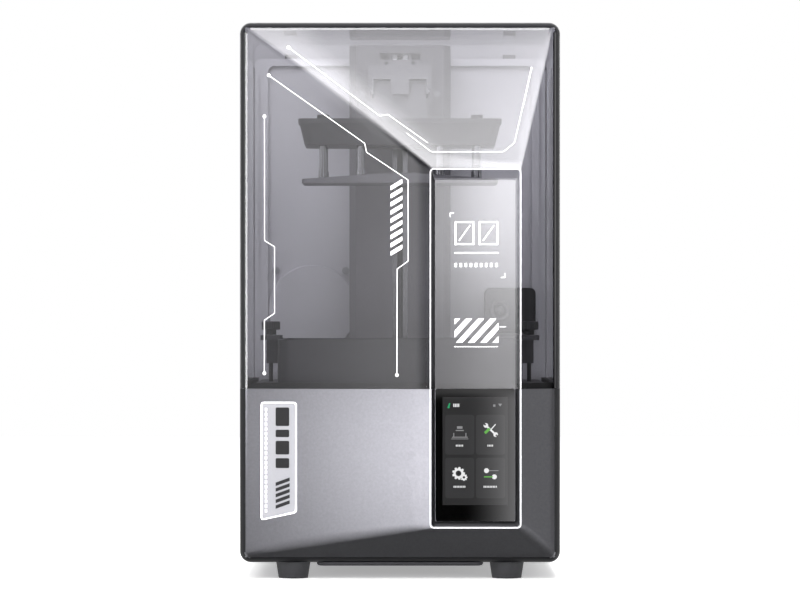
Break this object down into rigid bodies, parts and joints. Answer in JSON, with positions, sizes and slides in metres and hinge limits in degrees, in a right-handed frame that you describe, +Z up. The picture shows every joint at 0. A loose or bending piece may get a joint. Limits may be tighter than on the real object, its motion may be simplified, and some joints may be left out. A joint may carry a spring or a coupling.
{
  "type": "resin printer",
  "caption": "Desktop resin 3-D printer: silver base with a touch panel, Z column, tilting vat stage and a smoked lid that hinges up at the back, with a proud faceted front.",
  "frame": {"origin": "on the bench, under the middle of the printer's bounding box", "axes": "+X to the printer's right as seen from the front, +Y to the back, +Z up; the front with the touch panel faces -Y"},
  "size_m": [0.26, 0.268, 0.4515],
  "materials": {
    "smoked_acrylic": "polished, smoked see-through",
    "silver_paint": "fine metallic paint",
    "white_trim": "satin white",
    "badge_grey": "satin",
    "dark_cover": "textured powder coat",
    "grey_wall": "fine satin",
    "black_plastic": "moulded satin",
    "black_rubber": "matte",
    "black_glass": "polished",
    "clear_glass": "polished",
    "circuit_board": "solder mask",
    "bare_aluminium": "bead blasted and anodised",
    "bright_steel": "ground",
    "black_knob": "satin",
    "black_motor": "satin black",
    "brass_nut": "turned"
  },
  "bodies": {
    "chassis": {"base_shell": "silver_paint", "badge_plate": "badge_grey", "window_trim_base": "white_trim", "rear_panel": "dark_cover", "power_inlet": "black_plastic", "switch_frame": "black_plastic", "card_socket": "black_plastic", "bottom_cover": "dark_cover", "feet": "black_rubber", "touch_glass": "black_glass", "display_module": "black_plastic", "mainboard": "circuit_board", "board_standoffs": "bright_steel", "fan_frame": "black_plastic", "led_heatsink": "bare_aluminium", "led_board": "circuit_board", "light_hood": "black_plastic", "collimating_lens": "clear_glass", "deck_plate": "bare_aluminium", "deck_seal": "black_rubber", "stage_brackets": "bare_aluminium", "tilt_motor": "black_plastic", "column_housing": "bare_aluminium", "column_frame": "bare_aluminium", "guide_rails": "bright_steel", "z_motor": "black_motor", "rear_wall": "grey_wall", "rear_cover": "dark_cover", "filter_cover": "grey_wall", "wall_screws": "bright_steel", "camera_housing": "black_plastic", "camera_lens": "clear_glass"},
    "lid": {"lid_shell": "smoked_acrylic", "lid_hinge_bar": "dark_cover", "hinge_pins": "bright_steel", "window_trim_lid": "white_trim"},
    "stage": {"tilt_stage": "bare_aluminium", "mask_screen": "black_glass", "screen_glass": "clear_glass", "stage_hinge_pins": "bright_steel", "vat_body": "bare_aluminium", "film_frame": "bare_aluminium", "release_film": "clear_glass"},
    "tilt_cam_body": {"tilt_cam": "black_plastic"},
    "left_knob": {"vat_knob_left": "black_knob"},
    "right_knob": {"vat_knob_right": "black_knob"},
    "z_screw": {"lead_screw": "bright_steel", "screw_coupling": "black_plastic"},
    "carriage_body": {"carriage": "bare_aluminium", "screw_nut": "brass_nut", "arm": "bare_aluminium", "platform_tray": "bare_aluminium", "carriage_bolts": "bright_steel", "levelling_springs": "bright_steel"},
    "latch": {"latch_lever": "bare_aluminium", "latch_pin": "bright_steel"},
    "platform": {"build_plate": "bare_aluminium", "guide_posts": "bright_steel"},
    "fan": {"fan_rotor": "black_plastic"},
    "rocker": {"power_switch": "black_plastic"}
  },
  "joints": [
    {"name": "lid_hinge", "type": "hinge", "parent": "chassis", "child": "lid", "pos_m": [0, 0.1225, 0.44], "axis": [-1, 0, 0], "range_deg": [0, 75]},
    {"name": "z_travel", "type": "slide", "parent": "chassis", "child": "carriage_body", "axis": [0, 0, 1], "range_m": [-0.1607, 0]},
    {"name": "lead_screw_spin", "type": "hinge", "parent": "chassis", "child": "z_screw", "pos_m": [0, 0.076, 0.3], "axis": [0, 0, 1], "continuous": true},
    {"name": "platform_float", "type": "slide", "parent": "carriage_body", "child": "platform", "axis": [0, 0, 1], "range_m": [0, 0.004], "stiffness_N_per_m": 900, "springref_m": -0.003, "deforming": ["levelling_springs"]},
    {"name": "latch_hinge", "type": "hinge", "parent": "carriage_body", "child": "latch", "pos_m": [0, 0.008, 0.402], "axis": [-1, 0, 0], "range_deg": [0, 90]},
    {"name": "stage_tilt", "type": "hinge", "parent": "chassis", "child": "stage", "pos_m": [0, 0.062, 0.147], "axis": [1, 0, 0], "range_deg": [0, 4]},
    {"name": "tilt_cam_spin", "type": "hinge", "parent": "chassis", "child": "tilt_cam_body", "pos_m": [-0.064, -0.084, 0.1317], "axis": [1, 0, 0], "range_deg": [0, 181]},
    {"name": "left_knob_turn", "type": "hinge", "parent": "stage", "child": "left_knob", "pos_m": [-0.1079, -0.022, 0.2], "axis": [0, 0, 1], "continuous": true},
    {"name": "right_knob_turn", "type": "hinge", "parent": "stage", "child": "right_knob", "pos_m": [0.1079, -0.022, 0.2], "axis": [0, 0, 1], "continuous": true},
    {"name": "fan_spin", "type": "hinge", "parent": "chassis", "child": "fan", "pos_m": [-0.06, 0.119, 0.085], "axis": [0, 1, 0], "continuous": true},
    {"name": "power_rocker", "type": "hinge", "parent": "chassis", "child": "rocker", "pos_m": [0.0435, 0.13, 0.05], "axis": [1, 0, 0], "range_deg": [0, 16]}
  ],
  "couplings": [
    {"joint": "lead_screw_spin", "follows": "z_travel", "rad_per_m": -1570.8},
    {"joint": "tilt_cam_spin", "follows": "stage_tilt", "ratio": 45}
  ]
}
